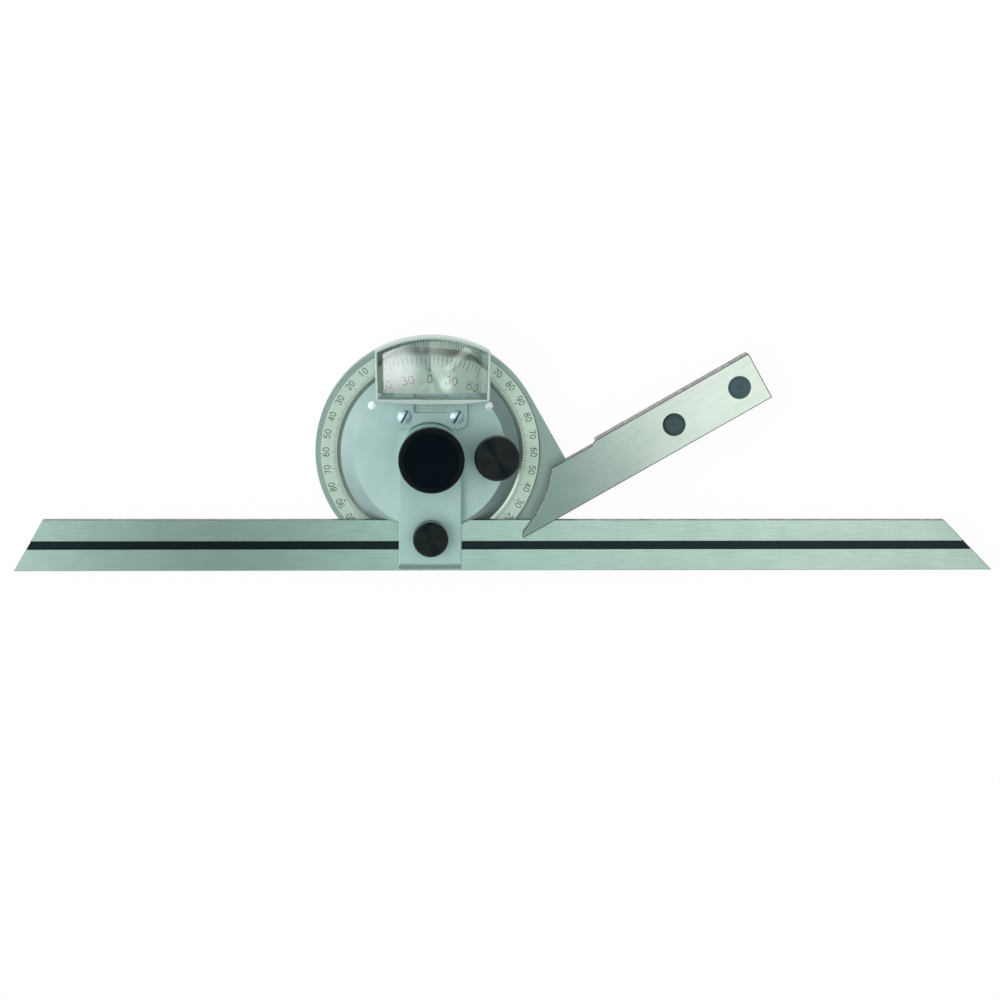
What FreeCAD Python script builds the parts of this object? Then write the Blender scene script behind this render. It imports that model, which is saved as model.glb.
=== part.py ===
import FreeCAD, Part
import math
import os
import re
import Sketcher

# Bevel protractor lying on its back: +Z up towards the reader, X along the blade,
# the origin on the pivot axis at the back face. The rest pose is the pose with the
# stock at rest_angle to the blade. All lengths are millimetres, all angles degrees.

sizes = {
    # pose and stock
    "rest_angle": 30,
    "stock_end": 98.4,
    "working_edge": 36.5,
    "bar_edge": 21.2,
    "relief_edge": 22.0,
    "rear_edge": 23.6,
    "rear_start": 5.0,
    "thick_start": 45.4,
    "step_run": 1.6,
    "tip_reach": 11.7,
    "tip_angle": 60,
    "bar_rise": 4.6,
    "cheek_thickness": 1.9,
    "edge_break": 0.3,
    # round body
    "flange_radius": 34.8,
    "flange_height": 6.8,
    "floor_thickness": 2.2,
    "boss_radius": 8.5,
    "seat_lift": 0.2,
    "cheek_gap": 1.1,
    # graduated ring
    "ring_radius": 33.45,
    "ring_thickness": 3.4,
    "ring_chamfer": 1.0,
    "running_gap": 0.1,
    # internal gear and pinion
    "gear_module": 0.5,
    "gear_teeth": 96,
    "pinion_teeth": 18,
    "gear_thickness": 2.4,
    "gear_wall": 2.2,
    "backlash": 0.14,
    "pinion_gap": 0.3,
    # turret
    "turret_radius": 27.15,
    "turret_face_radius": 23.0,
    "rim_rise": 0.35,
    "face_rise": 3.0,
    # blade
    "blade_length": 300,
    "blade_width": 15.7,
    "blade_thickness": 2.0,
    "blade_offset": 20.5,
    "blade_overhang": 125.5,
    "left_end_angle": 60,
    "right_end_angle": 45,
    "groove_width": 2.4,
    "groove_depth": 0.8,
    "blade_gap": 0.05,
    "blade_break": 0.15,
    # arm
    "arm_width": 19.0,
    "arm_thickness": 3.0,
    "arm_reach": 35.2,
    "arm_end_slope": 1.6,
    # centre stud and clamp
    "stud_radius": 4.0,
    "stud_flange_radius": 7.4,
    "stud_flange_thickness": 1.4,
    "screw_recess": 0.2,
    "flange_head_depth": 0.9,
    "fit_gap": 0.05,
    "bush_wall": 1.5,
    "clamp_washer_radius": 7.6,
    "washer_thickness": 0.6,
    "clamp_neck_radius": 6.6,
    "clamp_neck_height": 7.8,
    "clamp_knob_radius": 9.8,
    "clamp_knob_height": 4.0,
    "cap_radius": 8.2,
    "cap_thickness": 0.8,
    "cap_recess": 0.2,
    "knob_break": 0.5,
    "stud_cover": 2.0,
    # fine feed
    "feed_shaft_radius": 2.0,
    "feed_bush_wall": 1.2,
    "feed_flange_radius": 4.7,
    "feed_flange_thickness": 0.7,
    "feed_washer_thickness": 0.6,
    "feed_neck_height": 6.4,
    "feed_knob_radius": 6.7,
    "feed_knob_height": 4.2,
    "feed_shaft_cover": 1.5,
    "feed_screw_length": 3.5,
    "feed_screw_height": 2.5,
    # blade lock
    "lock_offset": 25.1,
    "lock_shaft_radius": 2.5,
    "lock_disc_radius": 4.2,
    "lock_disc_thickness": 1.75,
    "lock_pin_radius": 0.9,
    "lock_pin_gap": 0.15,
    "lock_shaft_cover": 1.2,
    "lock_washer_radius": 4.4,
    "lock_washer_thickness": 0.4,
    "lock_knob_radius": 5.3,
    "lock_knob_height": 5.2,
    "lock_screw_length": 2.1,
    "lock_screw_height": 1.7,
    # vernier
    "vernier_half_width": 16.3,
    "vernier_edge": 18.4,
    "vernier_thickness": 0.95,
    # magnifier
    "bracket_half_width": 11.0,
    "bracket_low": 7.6,
    "bracket_thickness": 1.2,
    "bracket_corner": 2.6,
    "bracket_notch_half_width": 5.1,
    "bracket_notch_low": 12.5,
    "bracket_notch_corner": 0.8,
    "crown_gap": 0.3,
    "bracket_screw_side": 7.9,
    "bracket_screw_up": 11.2,
    "frame_low": 16.7,
    "frame_foot_radius": 130.0,
    "frame_foot_wall": 0.5,
    "frame_low_half_width": 16.9,
    "frame_high_half_width": 17.2,
    "frame_radius": 35.8,
    "frame_wall": 0.75,
    "frame_corner": 1.0,
    "frame_clearance": 0.6,
    "frame_break": 0.15,
    "frame_shift": 0.5,
    "frame_top": 19.0,
    "frame_bottom": 9.4,
    "lens_crown": 0.6,
    "lens_setback": 1.7,
    "lens_centre": 22.9,
    "lens_radius": 50.0,
    "lens_thickness": 8.5,
    # stock screws and plugs
    "plug_radius": 3.5,
    "plug_thickness": 1.6,
    "plug_sink_inner": 1.6,
    "plug_sink_outer": 0.25,
    "plug_rim": 0.6,
    "plug_dish": 0.25,
    "plug_dimple": 0.5,
    "plug_inner": 68.4,
    "plug_outer": 91.1,
    "plug_line": 28.9,
    "dowel_radius": 1.5,
    "dowel_cover": 1.6,
    # small fasteners
    "ring_screw_head": 1.7,
    "ring_screw_shank": 0.9,
    "ring_screw_depth": 2.0,
    "ring_screw_seat": 0.8,
    "flange_screw_circle": 5.7,
    "flange_screw_head": 1.35,
    "flange_screw_shank": 0.75,
    "stock_screw_head": 2.75,
    "stock_screw_head_height": 2.0,
    "stock_screw_shank": 1.5,
    "stock_screw_floor": 1.6,
    "arm_screw_side": 5.6,
    "arm_screw_line": 14.0,
    "arm_screw_head": 2.1,
    "arm_screw_shank": 1.2,
    "arm_screw_head_height": 1.6,
    "arm_screw_cover": 0.8,
    "bracket_screw_head": 2.05,
    "bracket_screw_shank": 1.0,
    "bracket_screw_rise": 1.15,
    "bracket_screw_depth": 4.0,
    "bracket_screw_dome": 4.0,
    "bracket_slot_turn": 60.0,
    "face_screw_side": 17.6,
    "face_screw_up": 14.5,
    "face_screw_head": 1.2,
    "face_screw_shank": 0.6,
    "face_screw_rise": 0.4,
    "face_screw_seat": 1.6,
    "face_screw_dome": 2.5,
    "slot_width": 0.6,
    "slot_depth": 0.5,
    "small_slot_width": 0.4,
    "small_slot_depth": 0.3,
    "set_screw_radius": 0.8,
    "dowel_inner": 56.0,
    "dowel_outer": 80.0,
    "dowel_inner_line": 32.6,
    "dowel_outer_line": 26.4,
}

doc = FreeCAD.newDocument("bevel_protractor")
sheet = doc.addObject("Spreadsheet::Sheet", "Sizes")
for row, (name, value) in enumerate(sizes.items(), start=1):
    sheet.set(f"A{row}", name)
    sheet.set(f"B{row}", str(value))
    sheet.setAlias(f"B{row}", name)
doc.recompute()

nodes = []
cuts = []


# Heights above the back face, from the same sizes everywhere
ring_seat = "(floor_thickness + gear_thickness)"
turret_seat = f"({ring_seat} + seat_lift)"
ring_face = f"({ring_seat} + ring_thickness)"
turret_rim = f"({ring_face} + rim_rise)"
turret_face = f"({ring_face} + face_rise)"
blade_low = f"({turret_rim} + blade_gap)"
blade_high = f"({blade_low} + blade_thickness)"
arm_foot = f"({blade_high} + blade_gap)"
arm_top = f"({turret_face} + arm_thickness)"
bar_top = f"({ring_face} + bar_rise)"
cheek_low = f"({bar_top} - cheek_thickness)"

# Radii and distances from the axis
gear_pitch = "(gear_module * gear_teeth / 2)"
gear_outer = f"({gear_pitch} + 1.25 * gear_module + gear_wall)"
pinion_pitch = "(gear_module * pinion_teeth / 2)"
feed_centre = f"({gear_pitch} - {pinion_pitch})"
ring_bore = "(turret_radius + running_gap)"
stud_bore = "(stud_radius + fit_gap)"
bush_outer = f"({stud_bore} + bush_wall)"
arm_round = "(arm_width / 2)"
groove_line = "(blade_offset + blade_width / 2)"
feed_bore = "(feed_shaft_radius + fit_gap)"
feed_bush_outer = f"({feed_bore} + feed_bush_wall)"

vernier_low = f"({turret_rim} - vernier_thickness)"
bracket_top = f"({turret_face} + bracket_thickness)"
window_low = "(frame_low + frame_foot_wall)"
lens_low = f"({window_low} + lens_setback)"
window_sides = ("frame_low_half_width - frame_wall", "frame_high_half_width - frame_wall")
window_radius = "(frame_radius - frame_wall)"
lens_top = "(frame_top + lens_crown)"

# Stacks on the three shafts
clamp_low = f"({arm_top} + 2 * washer_thickness)"
clamp_neck_top = f"({clamp_low} + clamp_neck_height)"
clamp_knob_top = f"({clamp_neck_top} + clamp_knob_height)"
cap_low = f"({clamp_knob_top} - cap_thickness - cap_recess)"
stud_top = f"({cap_low} - stud_cover)"
feed_flange_top = f"({turret_face} + feed_flange_thickness)"
feed_knob_low = f"({feed_flange_top} + feed_washer_thickness)"
feed_neck_top = f"({feed_knob_low} + feed_neck_height)"
feed_knob_top = f"({feed_neck_top} + feed_knob_height)"
feed_shaft_top = f"({feed_knob_top} - feed_shaft_cover)"
lock_disc_low = f"({arm_foot} + blade_gap)"
lock_disc_high = f"({lock_disc_low} + lock_disc_thickness)"
lock_pin_low = f"({blade_high} - groove_depth + lock_pin_gap)"
lock_knob_low = f"({arm_top} + lock_washer_thickness)"
lock_knob_top = f"({lock_knob_low} + lock_knob_height)"
lock_shaft_top = f"({lock_knob_top} - lock_shaft_cover)"


def number(expression):
    """The value that an expression of the sheet's names has now."""
    return float(sheet.evalExpression(str(expression)))


def bind(item, prop, expression):
    """Tie a property to the sheet, so that it follows a changed cell."""
    def reference(word):
        text = word.group()
        return f"Sizes.{text}" if text in sizes else text
    item.setExpression(prop, re.sub(r"[a-z]\w+", reference, str(expression)))


def start_body(label, x="0", y="0", turned=False):
    """A new sub-part; turned ones are drawn in the stock's own axes."""
    body = doc.addObject("PartDesign::Body", label)
    body.Label = label
    bind(body, "Placement.Base.x", x)
    bind(body, "Placement.Base.y", y)
    if turned:
        bind(body, "Placement.Rotation.Angle", "rest_angle")
    nodes.append(body)
    return body


def start_sketch(body, height="0", role="XY_Plane"):
    """A sketch on the body's own plane, raised by the height."""
    plane = next(item for item in body.Origin.OriginFeatures if item.Role == role)
    sketch = body.newObject("Sketcher::SketchObject", body.Label + "_sketch")
    sketch.AttachmentSupport = [(plane, "")]
    sketch.MapMode = "FlatFace"
    bind(sketch, "AttachmentOffset.Base.z", height)
    return sketch


def fix_point(sketch, item, end, x, y):
    """Hold one point of a sketch at sizes from the sheet."""
    for kind, axis, expression in (("DistanceX", -2, x), ("DistanceY", -1, y)):
        if str(expression) == "0":
            sketch.addConstraint(Sketcher.Constraint("PointOnObject", item, end, axis))
        else:
            rule = Sketcher.Constraint(kind, -1, 1, item, end, number(expression))
            index = sketch.addConstraint(rule)
            bind(sketch, f"Constraints[{index}]", expression)


def draw_polygon(sketch, corners):
    """A closed outline through the corners, each held from the sheet."""
    points = [FreeCAD.Vector(number(x), number(y), 0) for x, y in corners]
    first = sketch.GeometryCount
    for index, point in enumerate(points):
        following = points[(index + 1) % len(points)]
        sketch.addGeometry(Part.LineSegment(point, following), False)
    for index, (x, y) in enumerate(corners):
        before = first + (index - 1) % len(corners)
        sketch.addConstraint(Sketcher.Constraint("Coincident", before, 2, first + index, 1))
        fix_point(sketch, first + index, 1, x, y)


def draw_circle(sketch, radius, x="0", y="0"):
    """A circle held at its centre and radius from the sheet."""
    centre = FreeCAD.Vector(number(x), number(y), 0)
    shape = Part.Circle(centre, FreeCAD.Vector(0, 0, 1), number(radius))
    item = sketch.addGeometry(shape, False)
    if str(x) == "0" and str(y) == "0":
        sketch.addConstraint(Sketcher.Constraint("Coincident", item, 3, -1, 1))
    else:
        fix_point(sketch, item, 3, x, y)
    index = sketch.addConstraint(Sketcher.Constraint("Radius", item, number(radius)))
    bind(sketch, f"Constraints[{index}]", radius)


def draw_fan(sketch, low_half, high_half, low, radius, foot_radius=None):
    """The magnifier's outline: foot and straight sides under an arc about the axis."""
    low_y = number(low)
    foot = number(low_half)
    head = number(high_half)
    reach = number(radius)
    head_y = math.sqrt(reach ** 2 - head ** 2)
    corners = [(-foot, low_y), (foot, low_y), (head, head_y), (-head, head_y)]
    points = [FreeCAD.Vector(x, y, 0) for x, y in corners]
    first = sketch.GeometryCount
    if foot_radius is None:
        sketch.addGeometry(Part.LineSegment(points[0], points[1]), False)
    else:
        bow = number(foot_radius)
        rise = math.sqrt(bow ** 2 - foot ** 2)
        circle = Part.Circle(FreeCAD.Vector(0, low_y + rise, 0), FreeCAD.Vector(0, 0, 1), bow)
        ends = [math.atan2(-rise, side) for side in (-foot, foot)]
        sketch.addGeometry(Part.ArcOfCircle(circle, *ends), False)
        index = sketch.addConstraint(Sketcher.Constraint("Radius", first, bow))
        bind(sketch, f"Constraints[{index}]", foot_radius)
    sketch.addGeometry(Part.LineSegment(points[1], points[2]), False)
    circle = Part.Circle(FreeCAD.Vector(0, 0, 0), FreeCAD.Vector(0, 0, 1), reach)
    start = math.atan2(head_y, head)
    sketch.addGeometry(Part.ArcOfCircle(circle, start, math.pi - start), False)
    sketch.addGeometry(Part.LineSegment(points[3], points[0]), False)
    for before, end, after, begin in ((0, 2, 1, 1), (1, 2, 2, 1), (2, 2, 3, 1), (3, 2, 0, 1)):
        rule = Sketcher.Constraint("Coincident", first + before, end, first + after, begin)
        sketch.addConstraint(rule)
    sketch.addConstraint(Sketcher.Constraint("Coincident", first + 2, 3, -1, 1))
    index = sketch.addConstraint(Sketcher.Constraint("Radius", first + 2, reach))
    bind(sketch, f"Constraints[{index}]", radius)
    fix_point(sketch, first, 1, f"-({low_half})", low)
    fix_point(sketch, first, 2, low_half, low)
    for end, side in ((1, f"({high_half})"), (2, f"-({high_half})")):
        rule = Sketcher.Constraint("DistanceX", -1, 1, first + 2, end, number(side))
        index = sketch.addConstraint(rule)
        bind(sketch, f"Constraints[{index}]", side)


def pad(body, sketch, height):
    """Raise a sketch into a solid."""
    feature = body.newObject("PartDesign::Pad", body.Label + "_pad")
    feature.Profile = sketch
    bind(feature, "Length", height)
    return feature


def cut_up(body, sketch, height):
    """Cut from the sketch's plane upwards."""
    feature = body.newObject("PartDesign::Pocket", body.Label + "_cut")
    feature.Profile = sketch
    feature.Reversed = True
    bind(feature, "Length", height)
    cuts.append(feature)
    return feature


def revolve(body, profile, kind="PartDesign::Revolution"):
    """Turn a profile of (radius, height) corners about the body's Z axis."""
    sketch = start_sketch(body, role="XZ_Plane")
    draw_polygon(sketch, profile)
    feature = body.newObject(kind, body.Label + "_turned")
    feature.Profile = sketch
    feature.ReferenceAxis = (sketch, ["V_Axis"])
    feature.Angle = 360
    if kind == "PartDesign::Groove":
        cuts.append(feature)
    return feature


def turned_piece(label, profile, x="0", y="0"):
    """A piece made on the lathe."""
    body = start_body(label, x, y)
    revolve(body, profile)
    return body


def bore(body, low, high, radius, places):
    """Round holes from one height to another."""
    sketch = start_sketch(body, low)
    for x, y in places:
        draw_circle(sketch, radius, x, y)
    return cut_up(body, sketch, f"{high} - {low}")


def break_edges(body, height, size, line=None):
    """Chamfer the edges that lie flat at one height, or those of them on one line of y."""
    doc.recompute()
    level = number(height)
    base = body.Tip
    edges = []
    for index, edge in enumerate(base.Shape.Edges, start=1):
        box = edge.BoundBox
        flat = abs(box.ZMin - level) < 1e-4 and abs(box.ZMax - level) < 1e-4
        on_line = line is None or max(abs(y - number(line)) for y in (box.YMin, box.YMax)) < 1e-4
        if flat and on_line:
            edges.append(f"Edge{index}")
    feature = body.newObject("PartDesign::Chamfer", body.Label + "_chamfer")
    feature.Base = (base, edges)
    bind(feature, "Size", size)
    return feature


def polar(radius, count, start=0):
    """Places spaced evenly round the axis."""
    step = 360 / count
    angles = [start + step * index for index in range(count)]
    return [(f"{radius} * cos({angle})", f"{radius} * sin({angle})") for angle in angles]


def ball(label, radius, x, y, z):
    """One ball of a group."""
    item = doc.addObject("Part::Sphere", label)
    bind(item, "Radius", radius)
    bind(item, "Placement.Base.x", x)
    bind(item, "Placement.Base.y", y)
    bind(item, "Placement.Base.z", z)
    return item


def rod(label, radius, low, high, x, y):
    """One plain cylinder of a group."""
    item = doc.addObject("Part::Cylinder", label)
    bind(item, "Radius", radius)
    bind(item, "Height", f"{high} - {low}")
    bind(item, "Placement.Base.x", x)
    bind(item, "Placement.Base.y", y)
    bind(item, "Placement.Base.z", low)
    return item


def group(label, items, turned=False):
    """Identical pieces that share a node."""
    item = doc.addObject("Part::Compound", label)
    item.Label = label
    item.Links = items
    if turned:
        bind(item, "Placement.Rotation.Angle", "rest_angle")
    nodes.append(item)
    return item


def cut_screws(label, places, head, shank, slot=None, dome=None, turn="0"):
    """Slotted screws; head and shank are (radius, low, high), dome the head's crown radius."""
    screws = []
    for x, y in places:
        top = rod(label + "_head", *head, x, y)
        if dome is not None:
            flat_top = top
            top = doc.addObject("Part::MultiCommon", label + "_crown")
            top.Shapes = [flat_top, ball(label + "_ball", dome, x, y, f"{head[2]} - {dome}")]
        fuse = doc.addObject("Part::MultiFuse", label + "_blank")
        fuse.Shapes = [top, rod(label + "_shank", *shank, x, y)]
        if slot is None:
            screws.append(fuse)
            continue
        width, depth, at_top = slot
        radius, low, high = head
        key = doc.addObject("Part::Box", label + "_slot")
        reach = f"({radius} + 0.5)"
        bind(key, "Length", f"2 * {reach}")
        bind(key, "Width", width)
        bind(key, "Height", depth)
        bind(key, "Placement.Rotation.Angle", turn)
        bind(key, "Placement.Base.x", f"{x} - {reach} * cos({turn}) + {width} / 2 * sin({turn})")
        bind(key, "Placement.Base.y", f"{y} - {reach} * sin({turn}) - {width} / 2 * cos({turn})")
        bind(key, "Placement.Base.z", f"{high} - {depth}" if at_top else low)
        cut = doc.addObject("Part::Cut", label + "_screw")
        cut.Base = fuse
        cut.Tool = key
        screws.append(cut)
    return screws


def set_screw(label, x, y, inner, length, radius, height):
    """A headless screw that lies across a knob, from its shaft outwards."""
    body = start_body(label, x, y)
    sketch = start_sketch(body, inner, "YZ_Plane")
    draw_circle(sketch, radius, "0", height)
    pad(body, sketch, length)
    return body


def cross_hole(body, inner, length, radius, height):
    """The hole that a set screw sits in."""
    sketch = start_sketch(body, inner, "YZ_Plane")
    draw_circle(sketch, radius, "0", height)
    return cut_up(body, sketch, length)


def round_corners(body, places, radius):
    """Fillet the upright edges that stand at the named places."""
    doc.recompute()
    base = body.Tip
    edges = []
    for index, edge in enumerate(base.Shape.Edges, start=1):
        box = edge.BoundBox
        upright = box.XLength < 1e-4 and box.YLength < 1e-4
        for x, y in places:
            near = abs(box.XMin - number(x)) < 1e-3 and abs(box.YMin - number(y)) < 1e-3
            if upright and near:
                edges.append(f"Edge{index}")
    feature = body.newObject("PartDesign::Fillet", body.Label + "_fillet")
    feature.Base = (base, edges)
    bind(feature, "Radius", radius)
    return feature


# Heights and places of the fasteners
ring_screw_circle = f"(({ring_bore} + ring_radius) / 2)"
back_head_top = "(floor_thickness - ring_screw_seat)"
flange_top = "stud_flange_thickness"
stock_places = [("plug_inner", "-plug_line"), ("plug_outer", "-plug_line")]
plug_sinks = ["plug_sink_inner", "plug_sink_outer"]
dowel_top = f"({bar_top} - dowel_cover)"
large_slot = ("slot_width", "slot_depth")
small_slot = ("small_slot_width", "small_slot_depth")
dowel_places = [("dowel_inner", "-dowel_inner_line"), ("dowel_outer", "-dowel_outer_line")]
ring_screw_places = polar(ring_screw_circle, 4, 45)
flange_screw_places = polar("flange_screw_circle", 3, 90)
arm_screw_places = [("arm_screw_side", "-arm_screw_line"), ("-arm_screw_side", "-arm_screw_line")]
bracket_screw_places = [
    ("bracket_screw_side", "bracket_screw_up"),
    ("-bracket_screw_side", "bracket_screw_up"),
]
face_screw_places = [("face_screw_side", "face_screw_up"), ("-face_screw_side", "face_screw_up")]
arm_head_top = f"({turret_seat} + screw_recess + arm_screw_head_height)"
arm_screw_top = f"({arm_top} - arm_screw_cover)"
face_head_low = f"({turret_face} - face_screw_seat)"
bracket_screw_low = f"({turret_face} - bracket_screw_depth)"


def plug_levels(sink):
    """Top and foot of a plug, and foot of the screw head below it."""
    top = f"({bar_top} - {sink})"
    low = f"({top} - plug_thickness)"
    return top, low, f"({low} - stock_screw_head_height)"


def make_body_frame():
    """Round plate and rear half of the stock, bored for ring, gear and stud."""
    body = start_body("body_frame", turned=True)
    disc = start_sketch(body)
    draw_circle(disc, "flange_radius")
    pad(body, disc, "flange_height")
    stock = start_sketch(body)
    draw_polygon(stock, [
        ("0", "0"),
        ("flange_radius", "0"),
        ("flange_radius", "-rear_edge"),
        ("stock_end", "-rear_edge"),
        ("stock_end", "-working_edge"),
        ("rear_start", "-working_edge"),
    ])
    pad(body, stock, "flange_height")
    revolve(body, [
        ("boss_radius", "floor_thickness"),
        (gear_outer, "floor_thickness"),
        (gear_outer, ring_seat),
        ("ring_radius", ring_seat),
        ("ring_radius", "flange_height + 1"),
        ("0", "flange_height + 1"),
        ("0", turret_seat),
        ("boss_radius", turret_seat),
    ], "PartDesign::Groove")
    revolve(body, [
        ("0", "-1"),
        ("stud_flange_radius", "-1"),
        ("stud_flange_radius", flange_top),
        ("stud_radius", flange_top),
        ("stud_radius", f"{turret_seat} + 1"),
        ("0", f"{turret_seat} + 1"),
    ], "PartDesign::Groove")
    bore(body, "0", back_head_top, "ring_screw_head", ring_screw_places)
    bore(body, "0", ring_seat, "ring_screw_shank", ring_screw_places)
    bore(body, flange_top, turret_seat, "flange_screw_shank", flange_screw_places)
    bore(body, "stock_screw_floor", "flange_height", "stock_screw_shank", stock_places)
    bore(body, "floor_thickness", "flange_height", "dowel_radius", dowel_places)


def make_scale_ring():
    """Graduated ring with a chamfered bore, in the body's rabbet."""
    body = start_body("main_scale_ring", turned=True)
    revolve(body, [
        (ring_bore, ring_seat),
        ("ring_radius", ring_seat),
        ("ring_radius", f"{ring_face} - edge_break"),
        ("ring_radius - edge_break", ring_face),
        (f"{ring_bore} + ring_chamfer", ring_face),
        (ring_bore, f"{ring_face} - rim_rise"),
    ])
    bore(body, ring_seat, f"({ring_seat} + ring_screw_depth)", "ring_screw_shank", ring_screw_places)
    group("scale_ring_screws", cut_screws(
        "ring_screw", ring_screw_places,
        ("ring_screw_head", "screw_recess", back_head_top),
        ("ring_screw_shank", back_head_top, f"({ring_seat} + ring_screw_depth)"),
        (*large_slot, False)), turned=True)


def involute(base, radius):
    """Polar angle of the involute of a base circle at one radius."""
    slope = math.sqrt(max((radius / base) ** 2 - 1, 0))
    return slope - math.atan(slope)


def gear_outline(teeth, module, thickness, radii):
    """Corner points of teeth whose flanks are involutes sampled at the radii."""
    pitch = module * teeth / 2
    base = pitch * math.cos(math.radians(20))
    half = thickness / (2 * pitch) + involute(base, pitch)
    points = []
    for tooth in range(teeth):
        middle = 2 * math.pi * tooth / teeth
        rising = [(r, middle - half + involute(base, max(r, base))) for r in radii]
        falling = [(r, 2 * middle - angle) for r, angle in reversed(rising)]
        points += rising + falling
    return [FreeCAD.Vector(r * math.cos(a), r * math.sin(a), 0) for r, a in points]


def toothed_prism(outline, low, height):
    """A gear's outline raised into a solid."""
    wire = Part.makePolygon(outline + outline[:1])
    prism = Part.Face(wire).extrude(FreeCAD.Vector(0, 0, height))
    prism.translate(FreeCAD.Vector(0, 0, low))
    return prism


def make_internal_gear():
    """Ring gear in the body; a tooth space lies on +X, where the pinion meets it."""
    module = number("gear_module")
    pitch = number(gear_pitch)
    tip = pitch - 0.8 * module
    root = pitch + 1.25 * module
    space = math.pi * module / 2 + number("backlash") / 2
    outline = gear_outline(int(number("gear_teeth")), module, space, [tip, pitch, root])
    low = number("floor_thickness")
    height = number("gear_thickness")
    blank = Part.makeCylinder(number(gear_outer), height, FreeCAD.Vector(0, 0, low))
    item = doc.addObject("Part::Feature", "internal_gear")
    item.Label = "internal_gear"
    item.Shape = blank.cut(toothed_prism(outline, low - 1, height + 2))
    nodes.append(item)


def make_feed_pinion():
    """Pinion and its shaft in one piece, with a tooth on +X."""
    module = number("gear_module")
    pitch = number(pinion_pitch)
    tip = pitch + module
    root = pitch - 1.2 * module
    thickness = math.pi * module / 2 - number("backlash") / 2
    radii = [root, 0.95 * pitch, pitch, (pitch + tip) / 2, tip]
    outline = gear_outline(int(number("pinion_teeth")), module, thickness, radii)
    low = number("floor_thickness + pinion_gap")
    high = number(f"{turret_seat} - pinion_gap")
    shaft = Part.makeCylinder(
        number("feed_shaft_radius"), number(feed_shaft_top) - low, FreeCAD.Vector(0, 0, low))
    item = doc.addObject("Part::Feature", "feed_pinion")
    item.Label = "feed_pinion"
    item.Shape = shaft.fuse(toothed_prism(outline, low, high - low)).removeSplitter()
    bind(item, "Placement.Base.x", feed_centre)
    nodes.append(item)


def make_centre_stud():
    """Pivot stud, flanged at the back and held by three screws."""
    body = start_body("centre_stud", turned=True)
    revolve(body, [
        ("0", "0"),
        ("stud_flange_radius", "0"),
        ("stud_flange_radius", flange_top),
        ("stud_radius", flange_top),
        ("stud_radius", f"{stud_top} - edge_break"),
        ("stud_radius - edge_break", stud_top),
        ("0", stud_top),
    ])
    bore(body, "0", "flange_head_depth", "flange_screw_head", flange_screw_places)
    bore(body, "0", flange_top, "flange_screw_shank", flange_screw_places)
    group("stud_flange_screws", cut_screws(
        "flange_screw", flange_screw_places,
        ("flange_screw_head", "screw_recess", "flange_head_depth"),
        ("flange_screw_shank", "flange_head_depth", turret_seat),
        (*small_slot, False)), turned=True)


def make_stock_bar():
    """Front half of the stock: a thick bar, and a cheek that reaches over the blade."""
    body = start_body("stock_bar", turned=True)
    thick = start_sketch(body, "flange_height")
    draw_polygon(thick, [
        ("thick_start", "-working_edge"),
        ("stock_end", "-working_edge"),
        ("stock_end", "-bar_edge"),
        ("thick_start", "-bar_edge"),
    ])
    pad(body, thick, f"{bar_top} - flange_height")
    cheek = start_sketch(body, cheek_low)
    draw_polygon(cheek, [
        ("tip_reach", "-working_edge"),
        ("thick_start", "-working_edge"),
        ("thick_start", "-bar_edge"),
        ("thick_start - step_run", "-relief_edge"),
        ("tip_reach + (working_edge - relief_edge) / tan(tip_angle)", "-relief_edge"),
    ])
    pad(body, cheek, "cheek_thickness")
    sweep = start_sketch(body, cheek_low)
    draw_circle(sweep, "frame_radius + cheek_gap")
    cut_up(body, sweep, "cheek_thickness + 1")
    break_edges(body, bar_top, "edge_break")
    for place, sink in zip(stock_places, plug_sinks):
        head_low = plug_levels(sink)[2]
        bore(body, head_low, f"({bar_top} + 1)", "plug_radius", [place])
        bore(body, "flange_height", head_low, "stock_screw_shank", [place])
    bore(body, "flange_height", dowel_top, "dowel_radius", dowel_places)


def cone(label, low_radius, high_radius, low, height, x, y):
    """One plain cone of a group."""
    item = doc.addObject("Part::Cone", label)
    bind(item, "Radius1", low_radius)
    bind(item, "Radius2", high_radius)
    bind(item, "Height", height)
    bind(item, "Placement.Base.x", x)
    bind(item, "Placement.Base.y", y)
    bind(item, "Placement.Base.z", low)
    return item


def make_stock_fasteners():
    """Two cap screws under dished black plugs, and two dowels between the halves."""
    screws = []
    plugs = []
    for (x, y), sink in zip(stock_places, plug_sinks):
        top, low, head_low = plug_levels(sink)
        screws += cut_screws(
            "stock_screw", [(x, y)],
            ("stock_screw_head", head_low, low),
            ("stock_screw_shank", "stock_screw_floor", head_low))
        dish = cone("plug_hollow", "plug_radius - plug_rim - plug_dish", "plug_radius - plug_rim",
                    f"({top} - plug_dish)", "plug_dish", x, y)
        dimple = rod("plug_dimple_cut", "plug_dimple", f"({top} - 2 * plug_dish)", top, x, y)
        plug = doc.addObject("Part::Cut", "plug")
        plug.Base = rod("plug_blank", "plug_radius", low, top, x, y)
        plug.Tool = doc.addObject("Part::MultiFuse", "plug_tool")
        plug.Tool.Shapes = [dish, dimple]
        plugs.append(plug)
    group("stock_screws", screws, turned=True)
    group("stock_plugs", plugs, turned=True)
    dowels = [rod("dowel", "dowel_radius", "floor_thickness", dowel_top, x, y) for x, y in dowel_places]
    group("stock_dowels", dowels, turned=True)


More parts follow.
